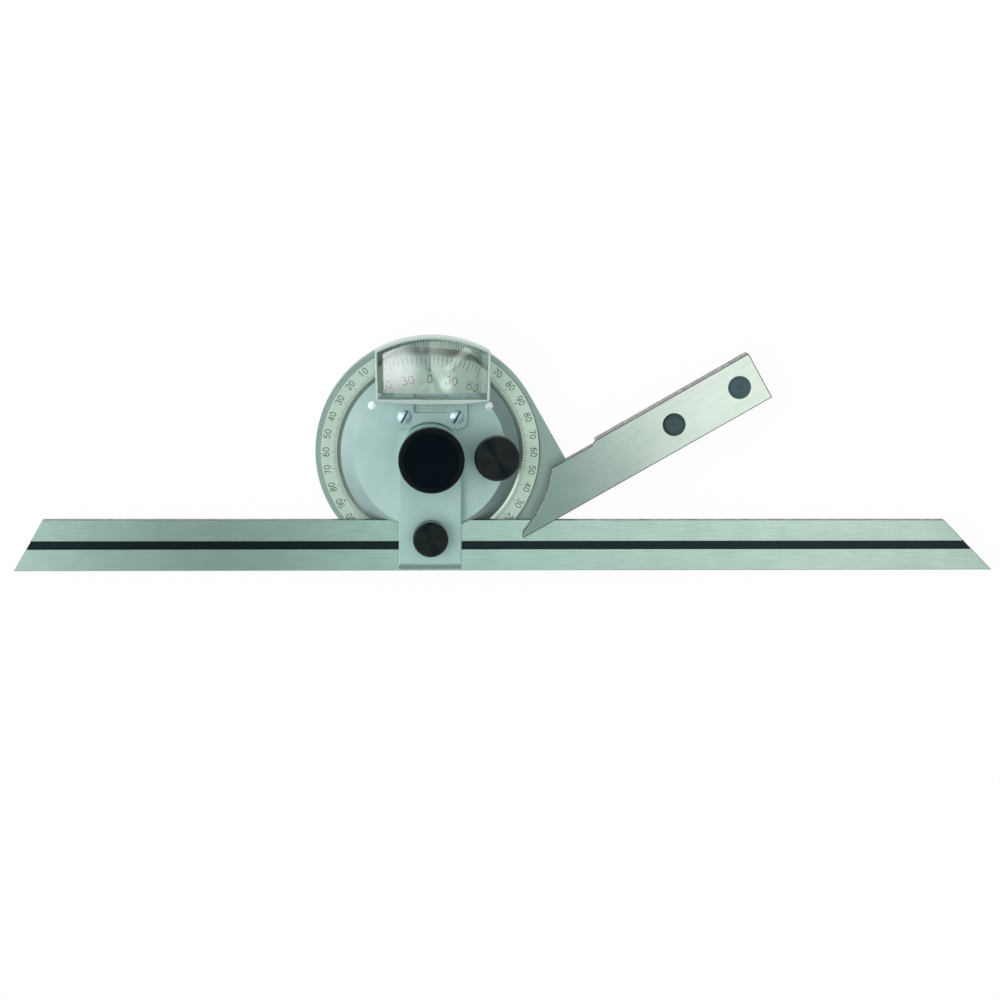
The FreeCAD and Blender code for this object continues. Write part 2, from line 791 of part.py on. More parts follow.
def make_turret_disc():
    """Bevelled disc, slotted for the blade under a thin lip and notched for the vernier."""
    body = start_body("turret_disc")
    revolve(body, [
        (bush_outer, turret_seat),
        ("turret_radius", turret_seat),
        ("turret_radius", turret_rim),
        ("turret_face_radius", turret_face),
        (bush_outer, turret_face),
    ])
    slot = start_sketch(body, turret_rim)
    draw_polygon(slot, [
        ("-turret_radius", "-(turret_radius + 1)"),
        ("turret_radius", "-(turret_radius + 1)"),
        ("turret_radius", "-(blade_offset - blade_gap)"),
        ("-turret_radius", "-(blade_offset - blade_gap)"),
    ])
    cut_up(body, slot, f"{arm_foot} - {turret_rim}")
    arm_way = start_sketch(body, turret_rim)
    draw_polygon(arm_way, [
        (f"-{arm_round}", "-(turret_radius + 1)"),
        (arm_round, "-(turret_radius + 1)"),
        (arm_round, "-(blade_offset - blade_gap)"),
        (f"-{arm_round}", "-(blade_offset - blade_gap)"),
    ])
    cut_up(body, arm_way, "face_rise")
    notch = start_sketch(body, vernier_low)
    draw_polygon(notch, [
        ("-vernier_half_width", "vernier_edge"),
        ("vernier_half_width", "vernier_edge"),
        ("vernier_half_width", "turret_radius + 1"),
        ("-vernier_half_width", "turret_radius + 1"),
    ])
    cut_up(body, notch, "face_rise + vernier_thickness")
    bore(body, turret_seat, turret_face, feed_bush_outer, [(feed_centre, "0")])
    bore(body, turret_seat, arm_head_top, "arm_screw_head", arm_screw_places)
    bore(body, turret_seat, turret_face, "arm_screw_shank", arm_screw_places)
    bore(body, bracket_screw_low, turret_face, "bracket_screw_shank", bracket_screw_places)
    bore(body, face_head_low, f"({turret_face} + 1)", "face_screw_head", face_screw_places)
    bore(body, bracket_screw_low, turret_face, "face_screw_shank", face_screw_places)
    group("turret_face_screws", cut_screws(
        "face_screw", face_screw_places,
        ("face_screw_head", face_head_low, f"({turret_face} + face_screw_rise)"),
        ("face_screw_shank", bracket_screw_low, face_head_low),
        (*small_slot, True), "face_screw_dome"))


def make_arm():
    """Arm from the stud down over the blade, with a foot that holds the blade in."""
    body = start_body("arm")
    plate = start_sketch(body, turret_face)
    draw_polygon(plate, [
        (f"-{arm_round}", "-arm_reach"),
        (arm_round, "-arm_reach"),
        (arm_round, "0"),
        (f"-{arm_round}", "0"),
    ])
    pad(body, plate, "arm_thickness")
    crown = start_sketch(body, turret_face)
    draw_circle(crown, arm_round)
    pad(body, crown, "arm_thickness")
    foot = start_sketch(body, arm_foot)
    draw_polygon(foot, [
        (f"-{arm_round}", "-arm_reach"),
        (arm_round, "-arm_reach"),
        (arm_round, "-blade_offset"),
        (f"-{arm_round}", "-blade_offset"),
    ])
    pad(body, foot, f"{arm_top} - {arm_foot}")
    break_edges(body, arm_top, "arm_end_slope", "-arm_reach")
    break_edges(body, arm_top, "edge_break")
    lock_place = [("0", "-lock_offset")]
    bore(body, turret_face, arm_top, stud_bore, [("0", "0")])
    bore(body, arm_foot, f"({lock_disc_high} + blade_gap)", "lock_disc_radius + fit_gap", lock_place)
    bore(body, arm_foot, arm_top, "lock_shaft_radius + fit_gap", lock_place)
    bore(body, turret_face, arm_screw_top, "arm_screw_shank", arm_screw_places)
    group("arm_screws", cut_screws(
        "arm_screw", arm_screw_places,
        ("arm_screw_head", f"({turret_seat} + screw_recess)", arm_head_top),
        ("arm_screw_shank", arm_head_top, arm_screw_top),
        (*large_slot, False)))


def make_bushes():
    """Bush on the centre stud, and flanged bush of the fine feed."""
    turned_piece("turret_bush", [
        (stud_bore, turret_seat),
        (bush_outer, turret_seat),
        (bush_outer, turret_face),
        (stud_bore, turret_face),
    ])
    turned_piece("feed_bush", [
        (feed_bore, turret_seat),
        (feed_bush_outer, turret_seat),
        (feed_bush_outer, turret_face),
        ("feed_flange_radius", turret_face),
        ("feed_flange_radius", feed_flange_top),
        (feed_bore, feed_flange_top),
    ], feed_centre)


def make_vernier_plate():
    """Vernier plate let into the turret, level with the graduated ring."""
    body = start_body("vernier_plate")
    plate = start_sketch(body, vernier_low)
    draw_polygon(plate, [
        ("-vernier_half_width", "vernier_edge"),
        ("vernier_half_width", "vernier_edge"),
        ("vernier_half_width", "turret_radius"),
        ("-vernier_half_width", "turret_radius"),
    ])
    pad(body, plate, "vernier_thickness")
    outside = start_sketch(body, vernier_low)
    draw_circle(outside, "turret_radius")
    draw_circle(outside, "2 * turret_radius")
    cut_up(body, outside, "vernier_thickness")


def make_magnifier():
    """Bracket, frame and lens above the vernier."""
    bracket = start_body("magnifier_bracket")
    plate = start_sketch(bracket, turret_face)
    draw_polygon(plate, [
        ("-bracket_half_width", "bracket_low"),
        ("bracket_half_width", "bracket_low"),
        ("bracket_half_width", lens_low),
        ("-bracket_half_width", lens_low),
    ])
    pad(bracket, plate, "bracket_thickness")
    round_corners(bracket, [
        ("bracket_half_width", "bracket_low"),
        ("-bracket_half_width", "bracket_low"),
    ], "bracket_corner")
    notch = start_sketch(bracket, turret_face)
    draw_polygon(notch, [
        ("-bracket_notch_half_width", "bracket_notch_low"),
        ("bracket_notch_half_width", "bracket_notch_low"),
        ("bracket_notch_half_width", f"{lens_low} + 1"),
        ("-bracket_notch_half_width", f"{lens_low} + 1"),
    ])
    cut_up(bracket, notch, "bracket_thickness")
    round_corners(bracket, [
        ("bracket_notch_half_width", "bracket_notch_low"),
        ("-bracket_notch_half_width", "bracket_notch_low"),
    ], "bracket_notch_corner")
    bore(bracket, turret_face, bracket_top, f"{arm_round} + crown_gap", [("0", "0")])
    bore(bracket, turret_face, bracket_top, "bracket_screw_shank", bracket_screw_places)
    group("bracket_screws", cut_screws(
        "bracket_screw", bracket_screw_places,
        ("bracket_screw_head", bracket_top, f"({bracket_top} + bracket_screw_rise)"),
        ("bracket_screw_shank", bracket_screw_low, bracket_top),
        (*large_slot, True), "bracket_screw_dome", "bracket_slot_turn"))

    frame = start_body("magnifier_frame", "frame_shift")
    outer = start_sketch(frame, "frame_bottom")
    draw_fan(outer, "frame_low_half_width", "frame_high_half_width", "frame_low", "frame_radius",
             "frame_foot_radius")
    pad(frame, outer, "frame_top - frame_bottom")
    head_high = "sqrt(frame_radius ^ 2 - frame_high_half_width ^ 2)"
    round_corners(frame, [
        ("frame_low_half_width", "frame_low"),
        ("-frame_low_half_width", "frame_low"),
        ("frame_high_half_width", head_high),
        ("-frame_high_half_width", head_high),
    ], "frame_corner")
    inner = start_sketch(frame, "frame_bottom")
    draw_fan(inner, *window_sides, window_low, window_radius)
    cut_up(frame, inner, "frame_top - frame_bottom")
    bore(frame, "frame_bottom", bracket_top, "turret_radius + frame_clearance",
         [("-frame_shift", "0")])
    break_edges(frame, "frame_top", "frame_break")

    blank = start_body("lens_blank", "frame_shift")
    nodes.remove(blank)
    sketch = start_sketch(blank, f"{lens_top} - lens_thickness")
    draw_fan(sketch, *window_sides, lens_low, window_radius)
    pad(blank, sketch, "lens_thickness")
    upper = ball("upper_dome", "lens_radius", "frame_shift", "lens_centre",
                 f"{lens_top} - lens_radius")
    lower = ball("lower_dome", "lens_radius", "frame_shift", "lens_centre",
                 f"{lens_top} - lens_thickness + lens_radius")
    for dome in (upper, lower):
        # poles at the sides, clear of the lens
        dome.Placement.Rotation = FreeCAD.Rotation(FreeCAD.Vector(1, 0, 0), 90)
    lens = doc.addObject("Part::MultiCommon", "magnifier_lens")
    lens.Label = "magnifier_lens"
    lens.Shapes = [blank, upper, lower]
    nodes.append(lens)


def make_blade():
    """Blade with both ends bevelled and a groove along its front."""
    body = start_body("blade")
    far_end = "(blade_length - blade_overhang)"
    low_edge = "-(blade_offset + blade_width)"
    outline = start_sketch(body, blade_low)
    draw_polygon(outline, [
        ("-blade_overhang", low_edge),
        (far_end, low_edge),
        (f"{far_end} - blade_width / tan(right_end_angle)", "-blade_offset"),
        ("-blade_overhang + blade_width / tan(left_end_angle)", "-blade_offset"),
    ])
    pad(body, outline, "blade_thickness")
    groove = start_sketch(body, f"{blade_high} - groove_depth")
    draw_polygon(groove, [
        ("-blade_overhang", f"-({groove_line} + groove_width / 2)"),
        (far_end, f"-({groove_line} + groove_width / 2)"),
        (far_end, f"-({groove_line} - groove_width / 2)"),
        ("-blade_overhang", f"-({groove_line} - groove_width / 2)"),
    ])
    cut_up(body, groove, "groove_depth")
    break_edges(body, blade_high, "blade_break")


def knob_profile(bore_radius, low, radius, top, bore_top, neck_radius=None, neck_top=None):
    """A round knob with softened rims, bored from below."""
    profile = [(bore_radius, low)]
    if neck_radius is not None:
        profile += [(neck_radius, low), (neck_radius, neck_top)]
        low = neck_top
    profile += [
        (f"{radius} - knob_break", low),
        (radius, f"{low} + knob_break"),
        (radius, f"{top} - knob_break"),
        (f"{radius} - knob_break", top),
    ]
    return profile + [("0", top), ("0", bore_top), (bore_radius, bore_top)]


def make_feed_knob():
    """Knob, set screw and washer of the fine feed."""
    turned_piece("feed_washer", [
        (feed_bore, feed_flange_top),
        ("feed_flange_radius", feed_flange_top),
        ("feed_flange_radius", feed_knob_low),
        (feed_bore, feed_knob_low),
    ], feed_centre)
    knob = start_body("feed_knob", feed_centre)
    revolve(knob, knob_profile(
        "feed_shaft_radius", feed_knob_low, "feed_knob_radius", feed_knob_top, feed_shaft_top,
        "feed_flange_radius", feed_neck_top))
    middle = f"{feed_neck_top} + feed_screw_height"
    cross_hole(knob, "feed_shaft_radius", "feed_knob_radius", "set_screw_radius", middle)
    set_screw("feed_knob_screw", feed_centre, "0", "feed_shaft_radius", "feed_screw_length",
              "set_screw_radius", middle)


def make_blade_lock():
    """Eccentric stud whose pin works in the blade's groove, with its knob and washer."""
    stud = start_body("eccentric_stud", "0", "-lock_offset")
    revolve(stud, [
        ("0", lock_disc_low),
        ("lock_disc_radius", lock_disc_low),
        ("lock_disc_radius", lock_disc_high),
        ("lock_shaft_radius", lock_disc_high),
        ("lock_shaft_radius", lock_shaft_top),
        ("0", lock_shaft_top),
    ])
    pin = start_sketch(stud, lock_pin_low)
    draw_circle(pin, "lock_pin_radius", "0", f"-({groove_line} - lock_offset)")
    pad(stud, pin, f"{lock_disc_high} - {lock_pin_low}")
    turned_piece("lock_washer", [
        ("lock_shaft_radius", arm_top),
        ("lock_washer_radius", arm_top),
        ("lock_washer_radius", lock_knob_low),
        ("lock_shaft_radius", lock_knob_low),
    ], "0", "-lock_offset")
    knob = start_body("blade_lock_knob", "0", "-lock_offset")
    revolve(knob, knob_profile(
        "lock_shaft_radius", lock_knob_low, "lock_knob_radius", lock_knob_top, lock_shaft_top))
    middle = f"{lock_knob_low} + lock_screw_height"
    cross_hole(knob, "lock_shaft_radius", "lock_knob_radius", "set_screw_radius", middle)
    set_screw("lock_knob_screw", "0", "-lock_offset", "lock_shaft_radius", "lock_screw_length",
              "set_screw_radius", middle)


def make_clamp():
    """Clamp knob on the stud, with its cap, washer and wave washer."""
    turned_piece("clamp_washer", [
        (stud_bore, arm_top),
        ("clamp_washer_radius", arm_top),
        ("clamp_washer_radius", f"{arm_top} + washer_thickness"),
        (stud_bore, f"{arm_top} + washer_thickness"),
    ])
    turned_piece("wave_washer", [
        (stud_bore, f"{arm_top} + washer_thickness"),
        ("clamp_neck_radius", f"{arm_top} + washer_thickness"),
        ("clamp_neck_radius", clamp_low),
        (stud_bore, clamp_low),
    ])
    knob = start_body("clamp_knob")
    revolve(knob, knob_profile(
        stud_bore, clamp_low, "clamp_knob_radius", clamp_knob_top, f"{stud_top} + fit_gap",
        "clamp_neck_radius", clamp_neck_top))
    bore(knob, cap_low, clamp_knob_top, "cap_radius", [("0", "0")])
    turned_piece("clamp_knob_cap", [
        ("0", cap_low),
        ("cap_radius", cap_low),
        ("cap_radius", f"{cap_low} + cap_thickness"),
        ("0", f"{cap_low} + cap_thickness"),
    ])


def check_model():
    """Every object is sound, and every cut took material away."""
    for item in doc.Objects:
        bad = [word for word in item.State if word in ("Invalid", "Error")]
        if bad:
            raise RuntimeError(f"{item.Name} is {bad}")
    for cut in cuts:
        if cut.Shape.Volume > cut.BaseFeature.Shape.Volume - 1e-6:
            raise RuntimeError(f"{cut.Name} takes nothing away")
    for item in nodes:
        if item.Shape.isNull() or not item.Shape.isValid():
            raise RuntimeError(f"{item.Label} has no sound shape")


make_body_frame()
make_scale_ring()
make_internal_gear()
make_centre_stud()
make_stock_bar()
make_stock_fasteners()
make_turret_disc()
make_bushes()
make_arm()
make_vernier_plate()
make_magnifier()
make_feed_pinion()
make_feed_knob()
make_blade()
make_blade_lock()
make_clamp()
doc.recompute()
check_model()
os.makedirs("parts", exist_ok=True)
for item in nodes:
    item.Shape.exportStep(f"parts/{item.Label}.step")
print(len(nodes), "nodes written")
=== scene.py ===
import math
import bpy
from mathutils import Matrix, Vector


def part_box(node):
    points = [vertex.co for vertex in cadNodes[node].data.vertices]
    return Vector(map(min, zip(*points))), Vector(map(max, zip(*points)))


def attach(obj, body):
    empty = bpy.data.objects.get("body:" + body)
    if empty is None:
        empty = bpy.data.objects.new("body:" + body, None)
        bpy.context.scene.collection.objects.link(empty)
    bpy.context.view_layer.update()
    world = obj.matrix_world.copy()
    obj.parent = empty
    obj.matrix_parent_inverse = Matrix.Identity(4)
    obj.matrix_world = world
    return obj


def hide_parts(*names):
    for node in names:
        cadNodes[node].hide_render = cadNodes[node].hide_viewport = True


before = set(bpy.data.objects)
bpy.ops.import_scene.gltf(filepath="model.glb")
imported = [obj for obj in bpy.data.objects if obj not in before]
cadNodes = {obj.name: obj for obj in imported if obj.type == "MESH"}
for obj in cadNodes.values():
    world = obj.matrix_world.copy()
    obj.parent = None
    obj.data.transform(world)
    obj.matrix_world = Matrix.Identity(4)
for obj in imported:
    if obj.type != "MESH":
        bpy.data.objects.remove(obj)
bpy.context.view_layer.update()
mm = 0.001


# Places read from the frame, in metres

def top(node):
    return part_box(node)[1].z


def halfWidth(node):
    low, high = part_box(node)
    return (high.x - low.x) / 2


def middle(node):
    low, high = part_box(node)
    return (low + high) / 2


# Objects put into the scene

def placeObject(name, data):
    placed = bpy.data.objects.new(name, data)
    bpy.context.scene.collection.objects.link(placed)
    return placed


def placeMesh(name, corners, faces, material):
    mesh = bpy.data.meshes.new(name)
    mesh.from_pydata(corners, [], faces)
    mesh.materials.append(material)
    return placeObject(name, mesh)


# Camera, at the photograph's viewing angle

cameraView = {
    "x": -12.6 * mm, "y": 80.1 * mm, "height": 571.9 * mm,  # from the dial's centre, on the ring's face
    "pitch": 9.4, "yaw": 3.4, "roll": -0.58,
    "focal": 1.9,  # focal length over the frame's width
    "sensor": 36, "near": 0.01, "far": 20,
}


def makeCamera(view):
    data = bpy.data.cameras.new("camera")
    data.sensor_width = view["sensor"]
    data.lens = view["focal"] * view["sensor"]
    data.clip_start = view["near"]
    data.clip_end = view["far"]
    camera = placeObject("camera", data)
    turn = Matrix.Rotation(math.radians(view["roll"]), 3, "Z")
    turn = turn @ Matrix.Rotation(math.radians(view["pitch"]), 3, "X")
    turn = turn @ Matrix.Rotation(math.radians(view["yaw"]), 3, "Y")
    place = Vector((view["x"], view["y"], view["height"] + top("main_scale_ring")))
    camera.matrix_world = Matrix.Translation(place) @ turn.transposed().to_4x4()
    bpy.context.scene.camera = camera


# Node helpers

# Gives inputs plain values or links them to other nodes' outputs
def feed(tree, node, inputs):
    for key, value in inputs.items():
        if isinstance(value, bpy.types.NodeSocket):
            tree.links.new(value, node.inputs[key])
        else:
            node.inputs[key].default_value = value


def addNode(tree, kind, inputs, **settings):
    node = tree.nodes.new(kind)
    for name, value in settings.items():
        setattr(node, name, value)
    feed(tree, node, inputs)
    return node


def calculate(tree, operation, first, second=0.0):
    return addNode(tree, "ShaderNodeMath", {0: first, 1: second}, operation=operation).outputs[0]


# One inside the band and nought outside it
def band(tree, value, low, high):
    return calculate(tree, "MULTIPLY", calculate(tree, "GREATER_THAN", value, low),
                     calculate(tree, "LESS_THAN", value, high))


def lean(tree, vector, way):
    return addNode(tree, "ShaderNodeVectorMath", {0: vector, 1: way}, operation="DOT_PRODUCT").outputs["Value"]


def separate(tree, vector):
    return addNode(tree, "ShaderNodeSeparateXYZ", {"Vector": vector}).outputs


def trueNormal(tree):
    return tree.nodes.new("ShaderNodeNewGeometry").outputs["True Normal"]


def objectPoint(tree, x=0.0, y=0.0, turn=0.0, stretch=(1, 1, 1)):
    mapping = addNode(tree, "ShaderNodeMapping", {
        "Vector": tree.nodes.new("ShaderNodeTexCoord").outputs["Object"],
        "Location": (x, y, 0), "Rotation": (0, 0, turn), "Scale": stretch,
    }, vector_type="TEXTURE")
    return mapping.outputs["Vector"]


# Colour helpers

def linear(red, green, blue):
    def channel(value):
        value = value / 255
        return value / 12.92 if value <= 0.04045 else ((value + 0.055) / 1.055) ** 2.4
    return (channel(red), channel(green), channel(blue), 1)


def grey(value):
    return (value, value, value, 1)


def noise(tree, vector, scale, detail=2.0, roughness=0.6):
    node = addNode(tree, "ShaderNodeTexNoise", {
        "Vector": vector, "Scale": scale, "Detail": detail, "Roughness": roughness,
    })
    return node.outputs["Fac"]


def ramp(tree, factor, stops):
    node = addNode(tree, "ShaderNodeValToRGB", {"Fac": factor})
    elements = node.color_ramp.elements
    while len(elements) < len(stops):
        elements.new(0.5)
    for element, (place, colour) in zip(elements, stops):
        element.position = place
        element.color = colour
    return node.outputs["Color"]


def twoTones(tree, factor, places, dark, light):
    return ramp(tree, factor, [(places[0], dark), (places[1], light)])


# The mix node's colours are its inputs 6 and 7 and its output 2
def blendColour(tree, factor, first, second, mode="MIX"):
    node = addNode(tree, "ShaderNodeMix", {"Factor": factor, 6: first, 7: second},
                   data_type="RGBA", blend_type=mode)
    return node.outputs[2]


# Surface helpers

edgeRound = {"radius": 0.12 * mm, "samples": 4}
paintedShadeLean = {  # cosines of the normal at which the painted shade on the sides starts to fade and is gone
    "every": (0.95, 0.99),
    "one": (0.6, 0.3),
}
# Painted shade on the ground steel's sides, as a share of their colour
groundPaintedSideShade = 0.28


def startMaterial(name, colour, roughness, metallic=1.0, sheen=0.5):
    material = bpy.data.materials.new(name)
    material.use_nodes = True
    tree = material.node_tree
    shader = tree.nodes["Principled BSDF"]
    feed(tree, shader, {
        "Base Color": colour, "Roughness": roughness, "Metallic": metallic, "Specular IOR Level": sheen,
    })
    return material, tree, shader


def addBump(tree, shader, height, strength, distance, edge=0.0):
    bump = addNode(tree, "ShaderNodeBump", {"Height": height, "Strength": strength, "Distance": distance})
    if edge:
        rounded = addNode(tree, "ShaderNodeBevel", {"Radius": edge}, samples=edgeRound["samples"])
        feed(tree, bump, {"Normal": rounded.outputs["Normal"]})
    feed(tree, shader, {"Normal": bump.outputs["Normal"]})


# The way across the scratches, along which ground or turned metal draws its gloss out
def grain(tree, shader, across, amount):
    turned = addNode(tree, "ShaderNodeVectorTransform", {"Vector": across},
                     vector_type="VECTOR", convert_from="OBJECT", convert_to="WORLD")
    feed(tree, shader, {"Anisotropic": amount, "Tangent": turned.outputs["Vector"]})


# Painted shade: a darker colour on the sides, on every side, or only on those
# that face one way
def shadeSides(tree, colour, share, towards=None):
    if towards:
        value = lean(tree, trueNormal(tree), towards)
        start, end = paintedShadeLean["one"]
    else:
        value = calculate(tree, "ABSOLUTE", lean(tree, trueNormal(tree), (0, 0, 1)))
        start, end = paintedShadeLean["every"]
    paintedShadeFade = addNode(tree, "ShaderNodeMapRange", {"Value": value, "From Min": start, "From Max": end})
    paintedShadeColour = blendColour(tree, 1.0, colour, grey(share), "MULTIPLY")
    return blendColour(tree, paintedShadeFade.outputs["Result"], paintedShadeColour, colour)


def mixSurface(tree, share, first, second):
    choose = addNode(tree, "ShaderNodeMixShader", {"Fac": share, 1: first, 2: second})
    feed(tree, tree.nodes["Material Output"], {"Surface": choose.outputs["Shader"]})


# Surface-ground steel: long fine scratches along one way, with cloudy tone

groundSteel = {
    "grainPitch": 0.09 * mm, "grainLength": 9 * mm, "cloudSize": 11 * mm, "cloudShare": 0.28, "tones": (0.38, 0.62),
    "roughness": 0.27, "gloss": 0.93, "bump": 0.25, "depth": 0.006 * mm,
}


# Darker colour on the groove's floor and sides, chosen by place: partly its unpolished, oxidised steel, partly
# painted shade in the groove
def grooveColour(tree, colour, groove):
    place = separate(tree, objectPoint(tree))
    across = band(tree, place["Y"], groove["low"], groove["high"])
    deep = band(tree, place["Z"], groove["floor"], groove["mouth"])
    return blendColour(tree, calculate(tree, "MULTIPLY", across, deep), colour, groove["colour"])


def groundMaterial(name, dark, light, turn, roughness=groundSteel["roughness"], groove=None):
    steel = groundSteel
    material, tree, shader = startMaterial(name, light, roughness)
    stretch = (steel["grainLength"], steel["grainPitch"], steel["grainLength"])
    streaks = noise(tree, objectPoint(tree, turn=turn, stretch=stretch), 1.0)
    clouds = noise(tree, objectPoint(tree), 1 / steel["cloudSize"])
    tone = blendColour(tree, steel["cloudShare"], streaks, clouds)
    colour = twoTones(tree, tone, steel["tones"], dark, light)
    if groove:
        # oxide and painted shade in the blade's groove
        colour = grooveColour(tree, colour, groove)
    # painted shade on the sides of the ground steel
    feed(tree, shader, {"Base Color": shadeSides(tree, colour, groundPaintedSideShade)})
    addBump(tree, shader, streaks, steel["bump"], steel["depth"], edgeRound["radius"])
    grain(tree, shader, (-math.sin(turn), math.cos(turn), 0), steel["gloss"])
    return material


# Turned metal: fine rings about the piece's own axis, as the lathe leaves them

turnedMetal = {
    "ringScale": 3200.0, "detail": 2.0, "tones": (0.35, 0.65), "gloss": 0.85, "bump": 0.3, "depth": 0.01 * mm,
}


def turnedRings(tree, shader, centre, gloss):
    point = objectPoint(tree, centre.x, centre.y)
    flat = addNode(tree, "ShaderNodeVectorMath", {0: point, 1: (1, 1, 0)}, operation="MULTIPLY").outputs["Vector"]
    radius = addNode(tree, "ShaderNodeVectorMath", {0: flat}, operation="LENGTH").outputs["Value"]
    rings = addNode(tree, "ShaderNodeTexNoise", {
        "W": radius, "Scale": turnedMetal["ringScale"], "Detail": turnedMetal["detail"],
    }, noise_dimensions="1D")
    grain(tree, shader, flat, gloss)
    return flat, rings.outputs["Fac"]


def turnedMaterial(name, dark, light, roughness, centre):
    material, tree, shader = startMaterial(name, light, roughness)
    rings = turnedRings(tree, shader, centre, turnedMetal["gloss"])[1]
    feed(tree, shader, {"Base Color": twoTones(tree, rings, turnedMetal["tones"], dark, light)})
    addBump(tree, shader, rings, turnedMetal["bump"], turnedMetal["depth"])
    return material


# Black anodised knob: turned on its face, straight knurled round its side

blackKnob = {
    "tones": (0.3, 0.7), "roughness": 0.24, "gloss": 0.96,
    "sideLean": 0.2,  # a wall where the normal's height is less
    "knurlDepth": 0.12 * mm, "ringShare": 0.08,  # of the knurl's depth
}


def knobMaterial(name, dark, light, node, ridges, sheen):
    material, tree, shader = startMaterial(name, light, blackKnob["roughness"], 0.0, sheen)
    flat, rings = turnedRings(tree, shader, middle(node), blackKnob["gloss"])
    feed(tree, shader, {"Base Color": twoTones(tree, rings, blackKnob["tones"], dark, light)})
    place = separate(tree, flat)
    around = calculate(tree, "ARCTAN2", place["Y"], place["X"])
    ridge = calculate(tree, "SINE", calculate(tree, "MULTIPLY", around, float(ridges)))
    height = calculate(tree, "ABSOLUTE", separate(tree, trueNormal(tree))["Z"])
    side = calculate(tree, "LESS_THAN", height, blackKnob["sideLean"])
    relief = calculate(tree, "ADD", calculate(tree, "MULTIPLY", ridge, side),
                       calculate(tree, "MULTIPLY", rings, blackKnob["ringShare"]))
    addBump(tree, shader, relief, 1.0, blackKnob["knurlDepth"])
    return material


# Satin chrome, plated screws or moulded plastic: very fine even grain under faint clouds

satinGrain = {
    "fine": 0.35 * mm, "cloud": 14 * mm, "cloudShare": 0.65, "tones": (0.35, 0.65),
    "bump": 0.2, "depth": 0.004 * mm,
}


# Painted shade of the slots of a pair of screws, dark stripes turned in both heads by the same amount
def slotColour(tree, colour, head):
    place = separate(tree, objectPoint(tree))
    x = calculate(tree, "SUBTRACT", calculate(tree, "ABSOLUTE", place["X"]), head["side"])
    y = calculate(tree, "SUBTRACT", place["Y"], head["up"])
    across = calculate(tree, "MULTIPLY", calculate(tree, "SIGN", place["X"]), x)
    angle = math.radians(head["turn"])
    off = calculate(tree, "SUBTRACT", calculate(tree, "MULTIPLY", across, math.sin(angle)),
                    calculate(tree, "MULTIPLY", y, math.cos(angle)))
    slotShadeMask = band(tree, off, -head["slot"] / 2, head["slot"] / 2)
    return blendColour(tree, slotShadeMask, colour, head["colour"])


def satinMaterial(name, dark, light, roughness, metallic=1.0, sheen=0.5, paintedSideShade=None, towards=None, edge=0.0,
                  head=None):
    material, tree, shader = startMaterial(name, light, roughness, metallic, sheen)
    fine = noise(tree, objectPoint(tree), 1 / satinGrain["fine"])
    clouds = noise(tree, objectPoint(tree), 1 / satinGrain["cloud"])
    tone = blendColour(tree, satinGrain["cloudShare"], fine, clouds)
    colour = twoTones(tree, tone, satinGrain["tones"], dark, light)
    # painted shade on the sides, when a share is given
    if paintedSideShade:
        colour = shadeSides(tree, colour, paintedSideShade, towards)
    # painted shade of the screws' slots
    if head:
        colour = slotColour(tree, colour, head)
    feed(tree, shader, {"Base Color": colour})
    addBump(tree, shader, fine, satinGrain["bump"], satinGrain["depth"], edge)
    return material


# Clear lens that lets the light of the lamps through to what lies under it

clearGlass = {"index": 1.9, "glareIndex": 2.0, "glareRoughness": 0.1}


def glassMaterial(name, tint):
    material, tree, shader = startMaterial(name, tint, 0.0, 0.0)
    feed(tree, shader, {
        "Transmission Weight": 1.0, "IOR": clearGlass["index"], "Specular Tint": grey(0.0),
        "Coat Weight": 1.0, "Coat IOR": clearGlass["glareIndex"], "Coat Roughness": clearGlass["glareRoughness"],
    })
    shadowRay = tree.nodes.new("ShaderNodeLightPath").outputs["Is Shadow Ray"]
    clear = tree.nodes.new("ShaderNodeBsdfTransparent")
    mixSurface(tree, shadowRay, shader.outputs["BSDF"], clear.outputs["BSDF"])
    return material


# Matt black filling of the engraved marks, worn lighter in specks

markInk = {"roughness": 0.7, "speck": 0.2 * mm, "tones": (0.4, 0.9), "lighter": 4}


def inkMaterial(name, colour):
    material, tree, shader = startMaterial(name, colour, markInk["roughness"], 0.0)
    specks = noise(tree, objectPoint(tree), 1 / markInk["speck"], 1.0)
    worn = tuple(markInk["lighter"] * part for part in colour[:3]) + (1,)
    feed(tree, shader, {"Base Color": twoTones(tree, specks, markInk["tones"], colour, worn)})
    return material


# Finishes of the nodes

